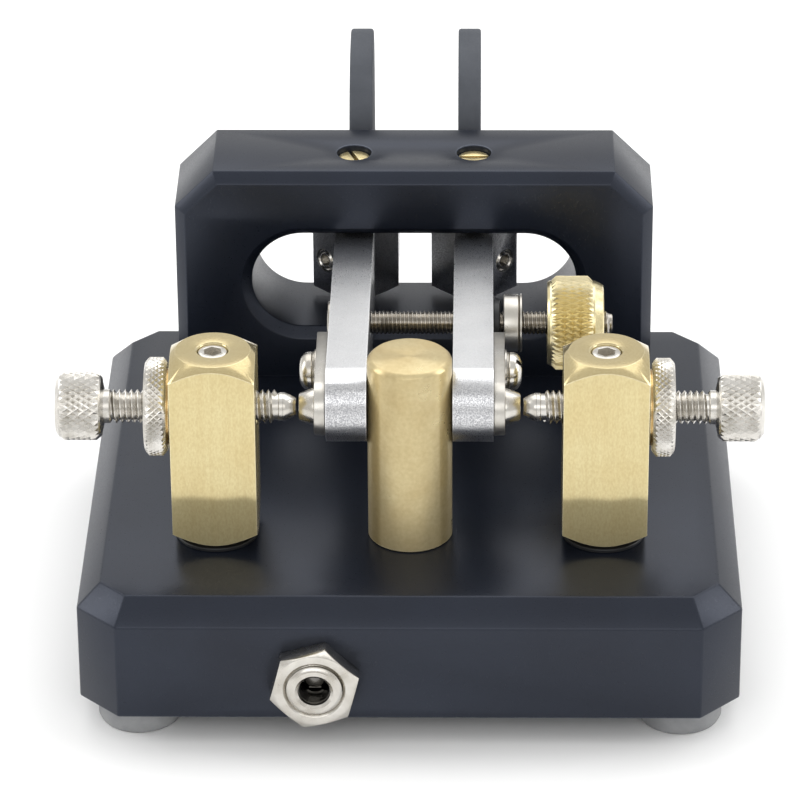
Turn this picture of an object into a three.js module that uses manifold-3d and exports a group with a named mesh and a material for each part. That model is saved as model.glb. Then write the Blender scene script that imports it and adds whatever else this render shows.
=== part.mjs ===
// Dual-lever morse key, mm. X across, +Y from the jack face to the finger pieces, +Z up.
// Drawn with the base underside at z = 0 and the base centred; the whole key is then moved
// so that its bounding box is centred in X and Y and stands on z = 0.
import * as THREE from 'three';
import { mergeVertices } from 'three/addons/utils/BufferGeometryUtils.js';
import Module from 'manifold-3d';

const wasm = await Module();
wasm.setup();

// base block
const BASE_W = 78;
const BASE_D = 72;
const BASE_H = 15;
const BASE_CUT = 4.8;
const BASE_CHAMFER = 2.8;
const ROOF_Z = 11;
const WIRE_BAY = { x: 28.5, y0: -23.5, y1: -12.5 };
const JACK_BAY = { x0: -19.5, x1: 3.5, y0: -33, y1: -23 };
const FOOT_H = 3.5;
const FOOT_R = 5;
const FOOT_X = 32;
const FOOT_Y = 29.3;

// upright frame
const FRAME_W = 59.5;
const FRAME_Y0 = 20.8;
const FRAME_Y1 = 34.1;
const FRAME_TOP = 43.2;
const FRAME_CUT = 4.85;
const FRAME_CHAMFER = 1.5;
const WINDOW_X = 20.3;
const WINDOW_R = 6.5;
const WINDOW_Z = 28.1;
const FRAME_SCREW_X = 22;

// pivots
const PIVOT_X = 7.47;
const PIVOT_Y = 27.45;
const PIVOT_BORE = 2.15;
const PIVOT_R = 2.05;
const PIVOT_TIP = 1.1;

// lever arms
const ARM_IN = 5.05;
const ARM_OUT = 9.85;
const BLOCK_IN = 2.1;
const BLOCK_OUT = 12.95;
const FLARE_Y = 31.75;
const BLOCK_Y1 = 44;
const BLOCK_Z0 = 22.3;
const BLOCK_Z1 = 34.1;
const NOSE_Y = -17.3;
const NOSE_Z = 32.1;
const NOSE_R = 4.65;
const CLAMP_Z = 26.7;
const BEAM_Y = 24;

// finger plates
const PLATE_IN = 5.45;
const PLATE_T = 2.9;
const PLATE_Y0 = 37;
const PLATE_Y1 = 55.4;
const PLATE_Z0 = 17.4;
const PLATE_Z1 = 49.7;
const PLATE_FRONT_R = 12;
const PLATE_R = 6;
const TONGUE_Y = 33;

// contact row
const POST_X = 23;
const POST_Y = -18.3;
const POST_HALF = 5;
const POST_TOP = 39.5;
const POST_END_R = 4.4;
const WASHER_T = 0.5;
const AXIS_Z = 32;
const M4_R = 1.95;
const M4_BORE = 2.08;
const TIP_X = 13.35;
const STRIP_IN = 9.9;
const STRIP_OUT = 11.2;
const STRIP_R = 3.35;
const STRIP_Y1 = -5.7;
const STRIP_SCREW_Y = -9.5;
const RIVET_X = 13;

// stop post and tension rod
const STOP_R = 5;
const STOP_TOP = 38.75;
const ROD_Y = 3.5;
const ROD_Z = 31.75;
const ROD_R = 1.45;
const ROD_END = 24.3;

// jack socket
const JACK_X = -11;
const JACK_Z = 5.2;
const JACK_END = -38.8;
const NUT_AF = 9.45;
const NUT_T = 2.4;
const BUSH_R = 3.3;
const JACK_BORE = 1.8;

const Y_MID = (JACK_END + PLATE_Y1) / 2;
const FACETS = 40;

// --- shapes -------------------------------------------------------------------------------
function polygon(points) {
  return new THREE.Shape(points.map(([x, y]) => new THREE.Vector2(x, y)));
}

function prism(shape, z0, z1, bevel = 0) {
  const geo = new THREE.ExtrudeGeometry(shape, {
    depth: z1 - z0 - 2 * bevel,
    bevelEnabled: bevel > 0,
    bevelThickness: bevel,
    bevelSize: bevel,
    bevelOffset: -bevel,
    bevelSegments: 1,
    curveSegments: 12,
    steps: 1,
  });
  return geo.translate(0, 0, z0 + bevel);
}

function box(x0, x1, y0, y1, z0, z1) {
  const geo = new THREE.BoxGeometry(x1 - x0, y1 - y0, z1 - z0);
  return geo.translate((x0 + x1) / 2, (y0 + y1) / 2, (z0 + z1) / 2);
}

// profile of [radius, height] pairs turned about Z, from the axis back to the axis
function turned(profile, facets = FACETS) {
  const geo = new THREE.LatheGeometry(profile.map(([r, z]) => new THREE.Vector2(r, z)), facets);
  return geo.rotateX(Math.PI / 2);
}

function cylinder(r, z0, z1, facets = FACETS) {
  return turned([[0, z0], [r, z0], [r, z1], [0, z1]], facets);
}

// a Z-axis shape laid along X; side +1 points outward on +X, -1 on -X
function alongX(geo, side) {
  return geo.rotateY((side * Math.PI) / 2);
}

function alongY(geo) {
  return geo.rotateX(-Math.PI / 2);
}

function circle(r, x, y) {
  const shape = new THREE.Shape();
  shape.absarc(x, y, r, 0, 2 * Math.PI, false);
  return shape;
}

function stadium(halfLength, r, y) {
  const shape = new THREE.Shape();
  shape.absarc(halfLength - r, y, r, -Math.PI / 2, Math.PI / 2, false);
  shape.absarc(-halfLength + r, y, r, Math.PI / 2, (3 * Math.PI) / 2, false);
  shape.closePath();
  return shape;
}

function hexagon(r, turn = 0) {
  const corners = [];
  for (let k = 0; k < 6; k += 1) {
    const a = turn + (k * Math.PI) / 3;
    corners.push([r * Math.cos(a), r * Math.sin(a)]);
  }
  return polygon(corners);
}

// --- booleans -----------------------------------------------------------------------------
function solid(geo) {
  let g = geo.clone();
  g.deleteAttribute('normal');
  g.deleteAttribute('uv');
  g = mergeVertices(g, 1e-4);
  const kept = [];
  const index = g.index.array;
  for (let i = 0; i < index.length; i += 3) {
    const [a, b, c] = [index[i], index[i + 1], index[i + 2]];
    if (a !== b && b !== c && a !== c) kept.push(a, b, c);
  }
  return new wasm.Manifold(new wasm.Mesh({
    numProp: 3,
    vertProperties: new Float32Array(g.attributes.position.array),
    triVerts: new Uint32Array(kept),
  }));
}

function geometry(body) {
  const mesh = body.getMesh();
  const geo = new THREE.BufferGeometry();
  geo.setAttribute('position', new THREE.BufferAttribute(new Float32Array(mesh.vertProperties), 3));
  geo.setIndex(new THREE.BufferAttribute(new Uint32Array(mesh.triVerts), 1));
  geo.computeVertexNormals();
  return geo;
}

function join(...geos) {
  return geometry(geos.map(solid).reduce((a, b) => a.add(b)));
}

function cut(geo, ...tools) {
  return geometry(tools.map(solid).reduce((a, b) => a.subtract(b), solid(geo)));
}

function common(a, b) {
  return geometry(solid(a).intersect(solid(b)));
}

// --- finishes -----------------------------------------------------------------------------
const FINISH = {
  black: { color: 0x1b1d22, roughness: 0.42, metalness: 0.75 },
  alloy: { color: 0xb9bcc2, roughness: 0.5, metalness: 0.9 },
  brass: { color: 0xd9bf7a, roughness: 0.32, metalness: 1.0 },
  nickel: { color: 0xc9c6bf, roughness: 0.28, metalness: 1.0 },
  steel: { color: 0x8f9296, roughness: 0.35, metalness: 1.0 },
  plastic: { color: 0x2a2c30, roughness: 0.7, metalness: 0.0 },
  insulator: { color: 0x141416, roughness: 0.6, metalness: 0.0 },
  rubber: { color: 0x6d6f72, roughness: 0.9, metalness: 0.0 },
  tin: { color: 0xb4b4b0, roughness: 0.4, metalness: 0.9 },
  red: { color: 0xa52a24, roughness: 0.6, metalness: 0.0 },
  white: { color: 0xd8d8d4, roughness: 0.6, metalness: 0.0 },
  dark: { color: 0x202022, roughness: 0.6, metalness: 0.0 },
};

const key = new THREE.Group();
key.name = 'dual_lever_key';

function add(name, geo, finish) {
  const mesh = new THREE.Mesh(geo, new THREE.MeshStandardMaterial(FINISH[finish]));
  mesh.name = name;
  key.add(mesh);
}

// --- base ---------------------------------------------------------------------------------
function baseBlock() {
  const [x, y, c] = [BASE_W / 2, BASE_D / 2, BASE_CUT];
  const outline = polygon([
    [-x + c, -y], [x - c, -y], [x, -y + c], [x, y - c],
    [x - c, y], [-x + c, y], [-x, y - c], [-x, -y + c],
  ]);
  const blank = common(prism(outline, -8, BASE_H, BASE_CHAMFER), box(-x, x, -y, y, 0, BASE_H + 1));
  const tools = [
    box(-WIRE_BAY.x, WIRE_BAY.x, WIRE_BAY.y0, WIRE_BAY.y1, -1, ROOF_Z),
    box(JACK_BAY.x0, JACK_BAY.x1, JACK_BAY.y0, JACK_BAY.y1, -1, ROOF_Z),
    alongY(cylinder(BUSH_R + 0.05, -BASE_D / 2 - 1, JACK_BAY.y0 + 1)).translate(JACK_X, 0, JACK_Z),
    cylinder(2.2, 5, BASE_H + 1).translate(0, POST_Y, 0),
  ];
  for (const side of [-1, 1]) {
    tools.push(cylinder(3.0, 5, BASE_H + 1).translate(side * POST_X, POST_Y, 0));
    tools.push(cylinder(2.2, -1, BASE_H + 1).translate(side * FRAME_SCREW_X, PIVOT_Y, 0));
    tools.push(cylinder(4.0, -1, 5).translate(side * FRAME_SCREW_X, PIVOT_Y, 0));
  }
  return cut(blank, ...tools);
}

function foot(x, y) {
  const r = FOOT_R;
  const profile = [[0, -FOOT_H], [r - 0.4, -FOOT_H], [r, -FOOT_H + 0.4], [r, 0], [0, 0]];
  return turned(profile, 28).translate(x, y, 0);
}

// --- upright frame with its window ---------------------------------------------------------
function uprightFrame() {
  const [x, c] = [FRAME_W / 2, FRAME_CUT];
  const outline = polygon([
    [-x, BASE_H - 5], [x, BASE_H - 5], [x, FRAME_TOP - c],
    [x - c, FRAME_TOP], [-x + c, FRAME_TOP], [-x, FRAME_TOP - c],
  ]);
  // drawn in X and Z, then stood up so that the extrusion runs from the front to the back
  const depth = FRAME_Y1 - FRAME_Y0;
  const stand = (geo) => geo.rotateX(Math.PI / 2).translate(0, FRAME_Y1, 0);
  const blank = stand(prism(outline, -8, depth, FRAME_CHAMFER));
  const trim = box(-x - 1, x + 1, FRAME_Y0 - 1, FRAME_Y1, BASE_H, FRAME_TOP + 1);
  const window = stand(prism(stadium(WINDOW_X, WINDOW_R, WINDOW_Z), -1, depth + 1));
  const r = WINDOW_R + FRAME_CHAMFER;
  const flare = stand(prism(stadium(WINDOW_X + FRAME_CHAMFER, r, WINDOW_Z),
    depth - FRAME_CHAMFER, depth + 4, FRAME_CHAMFER));
  const tools = [window, flare];
  for (const side of [-1, 1]) {
    tools.push(cylinder(PIVOT_BORE, BASE_H - 1, FRAME_TOP + 1).translate(side * PIVOT_X, PIVOT_Y, 0));
    tools.push(cylinder(2.05, BASE_H - 1, 20).translate(side * FRAME_SCREW_X, PIVOT_Y, 0));
  }
  return cut(common(blank, trim), ...tools);
}

function frameScrew(side) {
  const head = turned([[0, 1], [3.4, 1], [3.6, 1.2], [3.6, 4.9], [0, 4.9]]);
  const shank = cylinder(1.95, 4.5, 19);
  const socket = prism(hexagon(1.73), 0, 3);
  return cut(join(head, shank), socket).translate(side * FRAME_SCREW_X, PIVOT_Y, 0);
}

// slotted set screw with a cone point; the cone sits in the lever's seat with a hair of play
function pivotScrew(side, upper, turn) {
  const length = upper ? FRAME_TOP - 0.6 - BLOCK_Z1 : BLOCK_Z0 - BASE_H - 0.3;
  const [r, e] = [PIVOT_R, 0.35];
  const tip = PIVOT_TIP - 0.1;
  const body = turned([[0, -tip], [0.25, -tip], [r - 0.6, 0.3], [r, 0.9], [r, length - e],
    [r - e, length], [0, length]], 24);
  const slot = box(-3, 3, -0.3, 0.3, length - 0.8, length + 1).rotateZ(turn);
  const screw = cut(body, slot);
  if (!upper) screw.rotateX(Math.PI);
  return screw.translate(side * PIVOT_X, PIVOT_Y, upper ? BLOCK_Z1 : BLOCK_Z0);
}

// --- levers -------------------------------------------------------------------------------
function lever(side) {
  const s = side;
  const beam = new THREE.Shape();
  beam.moveTo(BEAM_Y + 2, BLOCK_Z0);
  beam.lineTo(BEAM_Y + 2, BLOCK_Z1);
  beam.lineTo(BEAM_Y, BLOCK_Z1);
  beam.absarc(NOSE_Y, NOSE_Z, NOSE_R, Math.PI / 2, (3 * Math.PI) / 2, false);
  beam.lineTo(BEAM_Y, BLOCK_Z0);
  beam.closePath();
  // Y and Z outline laid across X
  const arm = prism(beam, ARM_IN, ARM_OUT, 0.3);
  arm.applyMatrix4(new THREE.Matrix4().makeBasis(new THREE.Vector3(0, 1, 0),
    new THREE.Vector3(0, 0, 1), new THREE.Vector3(1, 0, 0)));
  if (s < 0) arm.translate(-ARM_IN - ARM_OUT, 0, 0);
  const flare = ARM_IN - BLOCK_IN;
  const plan = polygon([
    [s * ARM_IN, BEAM_Y], [s * ARM_IN, FLARE_Y - flare], [s * BLOCK_IN, FLARE_Y],
    [s * BLOCK_IN, BLOCK_Y1 - 0.8], [s * (BLOCK_IN + 0.8), BLOCK_Y1],
    [s * (BLOCK_OUT - 0.8), BLOCK_Y1], [s * BLOCK_OUT, BLOCK_Y1 - 0.8],
    [s * BLOCK_OUT, FLARE_Y], [s * ARM_OUT, FLARE_Y - (BLOCK_OUT - ARM_OUT)], [s * ARM_OUT, BEAM_Y],
  ]);
  const block = prism(plan, BLOCK_Z0, BLOCK_Z1);
  const slot = box(PLATE_IN - 0.03, PLATE_IN + PLATE_T + 0.03, TONGUE_Y - 0.3, BLOCK_Y1 + 1,
    BLOCK_Z0 - 1, BLOCK_Z1 + 1);
  if (s < 0) slot.translate(-2 * PLATE_IN - PLATE_T, 0, 0);
  const upperSeat = turned([[0, -PIVOT_TIP], [0.45, -PIVOT_TIP], [1.75, 0], [1.75, 1], [0, 1]], 24)
    .translate(s * PIVOT_X, PIVOT_Y, BLOCK_Z1);
  const lowerSeat = turned([[0, -1], [1.75, -1], [1.75, 0], [0.45, PIVOT_TIP], [0, PIVOT_TIP]], 24)
    .translate(s * PIVOT_X, PIVOT_Y, BLOCK_Z0);
  const tools = [
    slot, upperSeat, lowerSeat,
    alongX(cylinder(s > 0 ? 2.2 : 1.75, 1, 15, 24), s).translate(0, ROD_Y, ROD_Z),
    alongX(cylinder(1.05, 1, 15, 22), s).translate(0, STRIP_SCREW_Y, AXIS_Z),
    alongX(cylinder(1.25, 7, 15, 22), s).translate(0, POST_Y, AXIS_Z),
    clampBore(s),
  ];
  return cut(join(arm, block), ...tools);
}

// bore and screw through the outer 45 degree face, square to it
function clampAxis(geo, side) {
  const face = [side * (ARM_OUT + BLOCK_OUT) / 2, FLARE_Y - (BLOCK_OUT - ARM_OUT) / 2];
  geo.rotateX(-Math.PI / 2);
  geo.rotateZ((side * Math.PI) / 4);
  return geo.translate(face[0], face[1], CLAMP_Z);
}

function clampBore(side) {
  return clampAxis(cylinder(1.55, -3, 4.4, 22), side);
}

function clampScrew(side) {
  const body = turned([[0, 0.45], [1.2, 0.45], [1.45, 0.7], [1.45, 2.8], [0.8, 3.2], [0, 3.2]], 22);
  return clampAxis(cut(body, prism(hexagon(0.87), 0, 1.9)), side);
}

// outline in Y and Z: a tongue for the lever's slot and a paddle with rounded corners
function fingerPlate(side) {
  const [y0, y1, z0, z1] = [PLATE_Y0, PLATE_Y1, PLATE_Z0, PLATE_Z1];
  const [q, r] = [PLATE_FRONT_R, PLATE_R];
  const outline = new THREE.Shape();
  outline.moveTo(TONGUE_Y, BLOCK_Z0 + 0.6);
  outline.lineTo(y0, BLOCK_Z0 + 0.6);
  outline.lineTo(y0, z0 + 2);
  outline.lineTo(y0 + 2, z0);
  outline.absarc(y1 - r, z0 + r, r, -Math.PI / 2, 0, false);
  outline.absarc(y1 - r, z1 - r, r, 0, Math.PI / 2, false);
  outline.absarc(y0 + q, z1 - q, q, Math.PI / 2, Math.PI, false);
  outline.lineTo(y0, BLOCK_Z1 - 0.6);
  outline.lineTo(TONGUE_Y, BLOCK_Z1 - 0.6);
  outline.closePath();
  const plate = prism(outline, PLATE_IN, PLATE_IN + PLATE_T, 0.25);
  plate.applyMatrix4(new THREE.Matrix4().makeBasis(new THREE.Vector3(0, 1, 0),
    new THREE.Vector3(0, 0, 1), new THREE.Vector3(1, 0, 0)));
  return side > 0 ? plate : plate.translate(-2 * PLATE_IN - PLATE_T, 0, 0);
}

// --- contacts carried by the levers --------------------------------------------------------
function contactStrip(side) {
  const outline = new THREE.Shape();
  outline.moveTo(STRIP_Y1, AXIS_Z + STRIP_R);
  outline.absarc(POST_Y, AXIS_Z, STRIP_R, Math.PI / 2, (3 * Math.PI) / 2, false);
  outline.lineTo(STRIP_Y1, AXIS_Z - STRIP_R);
  outline.closePath();
  const strip = cut(prism(outline, STRIP_IN, STRIP_OUT),
    cylinder(1.05, STRIP_IN - 1, STRIP_OUT + 1, 22).translate(STRIP_SCREW_Y, AXIS_Z, 0),
    cylinder(1.25, STRIP_IN - 1, STRIP_OUT + 1, 22).translate(POST_Y, AXIS_Z, 0));
  strip.applyMatrix4(new THREE.Matrix4().makeBasis(new THREE.Vector3(0, 1, 0),
    new THREE.Vector3(0, 0, 1), new THREE.Vector3(1, 0, 0)));
  return side > 0 ? strip : strip.translate(-STRIP_IN - STRIP_OUT, 0, 0);
}

function contactRivet(side) {
  const profile = [[0, 7.3], [1.2, 7.3], [1.2, STRIP_OUT + 0.02], [2.2, STRIP_OUT + 0.02],
    [2.2, STRIP_OUT + 0.2], [1.6, RIVET_X], [0, RIVET_X]];
  return alongX(turned(profile, 28), side).translate(0, POST_Y, AXIS_Z);
}

function stripScrew(side) {
  const z = STRIP_OUT + 0.02;
  const body = turned([[0, 5.6], [1.0, 5.6], [1.0, z], [2.6, z], [2.6, z + 0.45], [2.3, z + 0.5],
    [2.3, z + 1.3], [1.7, z + 2.05], [0, z + 2.05]], 24);
  const slot = box(-3, 3, -0.25, 0.25, z + 1.25, z + 3).rotateZ(0.5);
  return alongX(cut(body, slot), side).translate(0, STRIP_SCREW_Y, AXIS_Z);
}

// --- posts --------------------------------------------------------------------------------
function contactPost(side) {
  const z0 = BASE_H + WASHER_T;
  const h = POST_HALF;
  const reach = 7.3 - POST_END_R;
  const drop = reach * Math.tan((36 * Math.PI) / 180);
  const round = turned([[0, z0], [POST_END_R, z0], [7.3, z0 + drop], [7.3, POST_TOP - drop],
    [POST_END_R, POST_TOP], [0, POST_TOP]], 48);
  const square = box(-h, h, -h, h, z0 - 1, POST_TOP + 1);
  const grub = turned([[0, AXIS_Z], [1.85, AXIS_Z], [1.85, POST_TOP - 0.2], [2.1, POST_TOP + 0.05],
    [2.1, POST_TOP + 1], [0, POST_TOP + 1]], 28);
  const tools = [
    grub,
    cylinder(2.05, z0 - 1, 24.5, 28),
    alongX(cylinder(M4_BORE, -9, 9, 28), 1).translate(0, 0, AXIS_Z),
  ];
  return cut(common(square, round), ...tools).translate(side * POST_X, POST_Y, 0);
}

function postGrub(side) {
  const top = POST_TOP - 0.15;
  const body = turned([[0, 34.15], [1.2, 34.15], [1.75, 34.7], [1.75, top - 0.3], [1.45, top], [0, top]], 28);
  return cut(body, prism(hexagon(1.155, side * 0.4), top - 2, top + 1))
    .translate(side * POST_X, POST_Y, 0);
}

function ring(rIn, rOut, z0, z1, facets = 28) {
  return cut(cylinder(rOut, z0, z1, facets), cylinder(rIn, z0 - 1, z1 + 1, facets));
}

function postWasher(side) {
  return ring(2.05, 5, BASE_H, BASE_H + WASHER_T - 0.01).translate(side * POST_X, POST_Y, 0);
}

function postBush(side) {
  const body = turned([[0, 9.98], [4.4, 9.98], [4.4, ROOF_Z - 0.02], [2.95, ROOF_Z - 0.02],
    [2.95, BASE_H - 0.05], [0, BASE_H - 0.05]], 28);
  return cut(body, cylinder(2.05, 8, 17, 28)).translate(side * POST_X, POST_Y, 0);
}

// solder tag: a ring with a tail that reaches toward the middle of the base
function tag(x, y, z, turn) {
  const plate = join(cylinder(3.6, 0, 0.5, 24), box(0, 7, -1, 1, 0, 0.5));
  return cut(plate, cylinder(2.05, -1, 2, 24), cylinder(0.5, -1, 2, 16).translate(6, 0, 0))
    .rotateZ(turn).translate(x, y, z);
}

function underScrew(x, y, headTop, shankTop) {
  const head = turned([[0, headTop - 2.6], [2.6, headTop - 2.6], [3.5, headTop - 1.4],
    [3.5, headTop], [0, headTop]], 28);
  const slot = box(-4, 4, -0.5, 0.5, headTop - 4, headTop - 1.5).rotateZ(0.6);
  return cut(join(head, cylinder(1.95, headTop - 0.5, shankTop, 28)), slot).translate(x, y, 0);
}

function stopPost() {
  const body = turned([[0, BASE_H], [STOP_R, BASE_H], [STOP_R, STOP_TOP - 0.55],
    [STOP_R - 0.55, STOP_TOP], [0, STOP_TOP]], 48);
  return cut(body, cylinder(2.05, BASE_H - 1, 24.5, 28)).translate(0, POST_Y, 0);
}

// --- contact screws -----------------------------------------------------------------------
function contactScrew(side) {
  const profile = [[0, 14.9], [1.6, 14.9], [M4_R, 15.3], [M4_R, 35.2], [2.6, 35.25], [2.6, 36.1],
    [3.55, 36.1], [4, 36.55], [4, 41.05], [3.55, 41.5], [0, 41.5]];
  return alongX(turned(profile), side).translate(0, POST_Y, AXIS_Z);
}

function contactTip(side) {
  const profile = [[0, TIP_X], [1.1, TIP_X], [1.45, 14.88], [0, 14.88]];
  return alongX(turned(profile, 24), side).translate(0, POST_Y, AXIS_Z);
}

function locknut(side) {
  const profile = [[0, 28.02], [4.5, 28.02], [4.5, 28.45], [5.4, 28.45], [5.8, 28.85],
    [5.8, 30.65], [5.4, 31.05], [0, 31.05]];
  const nut = cut(turned(profile), cylinder(M4_BORE, 27, 33));
  return alongX(nut, side).translate(0, POST_Y, AXIS_Z);
}

// --- tension rod across the levers ---------------------------------------------------------
function tensionRod() {
  const x0 = -ARM_OUT - 0.4;
  const profile = [[0, x0], [2.4, x0], [2.6, x0 + 0.15], [2.6, -ARM_OUT - 0.02], [ROD_R, -ARM_OUT - 0.02],
    [ROD_R, ROD_END - 0.4], [ROD_R - 0.4, ROD_END], [0, ROD_END]];
  return alongX(turned(profile, 24), 1).translate(0, ROD_Y, ROD_Z);
}

function tensionBush() {
  const profile = [[0, 6.4], [2.15, 6.4], [2.15, ARM_OUT + 0.02], [2.7, ARM_OUT + 0.02], [2.7, 10.68], [0, 10.68]];
  const body = cut(turned(profile, 28), cylinder(1.72, 5, 12, 28));
  return alongX(body, 1).translate(0, ROD_Y, ROD_Z);
}

function tensionCollar() {
  const profile = [[0, 11.08], [3.1, 11.08], [3.35, 11.33], [3.35, 12.85], [3.0, 12.9], [3.0, 13.05],
    [3.4, 13.1], [3.4, 13.35], [0, 13.35]];
  const body = cut(turned(profile, 28), cylinder(1.55, 10, 15, 24));
  return alongX(body, 1).translate(0, ROD_Y, ROD_Z);
}

function tensionKnob() {
  const r = 5.72;
  const profile = [[0, 16.4], [r - 0.5, 16.4], [r, 16.9], [r, 22.2], [r - 1, 23.2], [0, 23.2]];
  const body = cut(turned(profile), cylinder(1.55, 15, 25, 24));
  return alongX(body, 1).translate(0, ROD_Y, ROD_Z);
}

// --- jack socket --------------------------------------------------------------------------
function jackBushing() {
  const [y0, y1] = [JACK_END, JACK_BAY.y0 - 0.02];
  const profile = [[0, y0], [BUSH_R - 0.3, y0], [BUSH_R, y0 + 0.3], [BUSH_R, y1], [0, y1]];
  const bore = turned([[0, y0 - 1], [JACK_BORE + 0.25, y0 - 1], [JACK_BORE + 0.25, y0],
    [JACK_BORE, y0 + 0.25], [JACK_BORE, y1 + 1], [0, y1 + 1]]);
  return alongY(cut(turned(profile), bore)).translate(JACK_X, 0, JACK_Z);
}

function jackNut() {
  const y0 = -BASE_D / 2 - NUT_T;
  const r = NUT_AF / Math.sqrt(3);
  const hex = prism(hexagon(r, -0.276), y0, -BASE_D / 2 - 0.01);
  const round = turned([[0, y0], [NUT_AF / 2 - 0.1, y0], [r + 0.1, y0 + 0.42], [r + 0.1, 0], [0, 0]]);
  return alongY(cut(common(hex, round), cylinder(BUSH_R + 0.03, y0 - 1, 0)))
    .translate(JACK_X, 0, JACK_Z);
}

function jackBody() {
  const [y0, y1] = [JACK_BAY.y0 + 0.02, -21.5];
  const shell = box(JACK_X - 5.8, JACK_X + 5.8, y0, y1, 1.4, 9.9);
  const bore = alongY(cylinder(1.85, y0 - 1, -25.2)).translate(JACK_X, 0, JACK_Z);
  return cut(shell, bore);
}

function jackLug(dx, z) {
  const lug = box(-0.8, 0.8, -21.48, -18.6, -0.2, 0.2);
  return cut(lug, cylinder(0.4, -1, 1, 16).translate(0, -19.4, 0)).translate(JACK_X + dx, 0, z);
}

function wire(points) {
  const path = new THREE.CatmullRomCurve3(points.map((p) => new THREE.Vector3(...p)));
  const section = circle(0.55, 0, 0);
  return new THREE.ExtrudeGeometry(section, {
    extrudePath: path, steps: 10, bevelEnabled: false, curveSegments: 4,
  });
}

// --- assembly -----------------------------------------------------------------------------
add('base_block', baseBlock(), 'black');
add('upright_frame', uprightFrame(), 'black');
add('stop_post', stopPost(), 'brass');
add('stop_post_screw', underScrew(0, POST_Y, ROOF_Z - 0.55, 23.5), 'steel');
add('ground_tag', tag(0, POST_Y, ROOF_Z - 0.52, Math.PI * 0.93), 'tin');
add('jack_bushing', jackBushing(), 'nickel');
add('jack_nut', jackNut(), 'nickel');
add('jack_body', jackBody(), 'insulator');
add('jack_lug_tip', jackLug(-4, 7.2), 'tin');
add('jack_lug_ring', jackLug(4, 7.2), 'tin');
add('jack_lug_sleeve', jackLug(0, 2.6), 'tin');
add('wire_left', wire([[-15, -18.3, 7.2], [-15.4, -16.9, 7.3], [-16.3, -15.9, 7.9], [-16.7, -16.4, 8.7]]), 'red');
add('wire_right', wire([[-7, -18.2, 7.2], [-6.2, -16.4, 7], [-3, -15, 6.2], [8, -14.6, 6.2], [15, -15.2, 7.2],
  [16.7, -16.4, 8.7]]), 'white');
add('wire_ground', wire([[-11, -18.3, 2.7], [-9, -15.6, 3.6], [-6.4, -15.2, 7.6], [-6, -16.3, 9.7]]), 'dark');

for (const [side, hand] of [[-1, 'left'], [1, 'right']]) {
  add(`upright_screw_${hand}`, frameScrew(side), 'steel');
  add(`pivot_screw_upper_${hand}`, pivotScrew(side, true, side < 0 ? 1.9 : 0.02), 'brass');
  add(`pivot_screw_lower_${hand}`, pivotScrew(side, false, side < 0 ? 0.7 : 2.3), 'brass');
  add(`contact_post_${hand}`, contactPost(side), 'brass');
  add(`post_washer_${hand}`, postWasher(side), 'insulator');
  add(`post_bush_${hand}`, postBush(side), 'insulator');
  add(`post_tag_${hand}`, tag(side * POST_X, POST_Y, 9.46, side < 0 ? 0.2 : Math.PI - 0.2), 'tin');
  add(`post_screw_${hand}`, underScrew(side * POST_X, POST_Y, 9.44, 23.5), 'steel');
  add(`post_grub_${hand}`, postGrub(side), 'steel');
  add(`lever_${hand}`, lever(side), 'alloy');
  add(`finger_plate_${hand}`, fingerPlate(side), 'plastic');
  add(`clamp_screw_${hand}`, clampScrew(side), 'steel');
  add(`contact_strip_${hand}`, contactStrip(side), 'nickel');
  add(`contact_rivet_${hand}`, contactRivet(side), 'nickel');
  add(`strip_screw_${hand}`, stripScrew(side), 'nickel');
  add(`contact_screw_${hand}`, contactScrew(side), 'nickel');
  add(`contact_tip_${hand}`, contactTip(side), 'nickel');
  add(`locknut_${hand}`, locknut(side), 'nickel');
  add(`foot_front_${hand}`, foot(side * FOOT_X, -FOOT_Y), 'rubber');
  add(`foot_back_${hand}`, foot(side * FOOT_X, FOOT_Y), 'rubber');
}

add('tension_rod', tensionRod(), 'nickel');
add('tension_bush', tensionBush(), 'insulator');
add('tension_collar', tensionCollar(), 'nickel');
add('tension_knob', tensionKnob(), 'brass');

key.position.set(0, -Y_MID, FOOT_H);

export default key;
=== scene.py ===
import math

import bmesh
import bpy
from mathutils import Matrix, Vector


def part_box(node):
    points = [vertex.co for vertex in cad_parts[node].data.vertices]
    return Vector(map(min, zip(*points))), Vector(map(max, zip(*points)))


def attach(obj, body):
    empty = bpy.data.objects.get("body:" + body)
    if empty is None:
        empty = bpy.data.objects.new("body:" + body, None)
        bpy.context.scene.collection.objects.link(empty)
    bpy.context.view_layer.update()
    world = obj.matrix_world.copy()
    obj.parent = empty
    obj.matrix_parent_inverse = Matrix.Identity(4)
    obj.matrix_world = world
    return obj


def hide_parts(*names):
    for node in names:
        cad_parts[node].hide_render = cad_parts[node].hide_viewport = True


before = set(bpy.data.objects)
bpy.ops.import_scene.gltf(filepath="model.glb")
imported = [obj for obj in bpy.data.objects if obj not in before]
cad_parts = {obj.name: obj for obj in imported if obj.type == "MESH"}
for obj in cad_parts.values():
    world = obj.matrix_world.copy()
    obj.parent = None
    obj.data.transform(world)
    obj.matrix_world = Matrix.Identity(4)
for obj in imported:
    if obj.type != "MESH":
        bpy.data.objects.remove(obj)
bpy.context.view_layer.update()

# --- Studio -----------------------------------------------------------------------------
# A white sweep lit by one wide softbox overhead, two soft side panels and a low front one,
# and a long lens that looks down at the jack side of the key.
EYE = Vector((0.00777, -0.51831, 0.30379))
PITCH, YAW, ROLL = 0.498, 0.0181, -0.0066
LENS_MM = 214.6


def linear(colour):
    """An sRGB hex colour as linear RGBA."""
    channels = [int(colour[i:i + 2], 16) / 255 for i in (1, 3, 5)]
    return [c / 12.92 if c <= 0.04045 else ((c + 0.055) / 1.055) ** 2.4 for c in channels] + [1.0]


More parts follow.
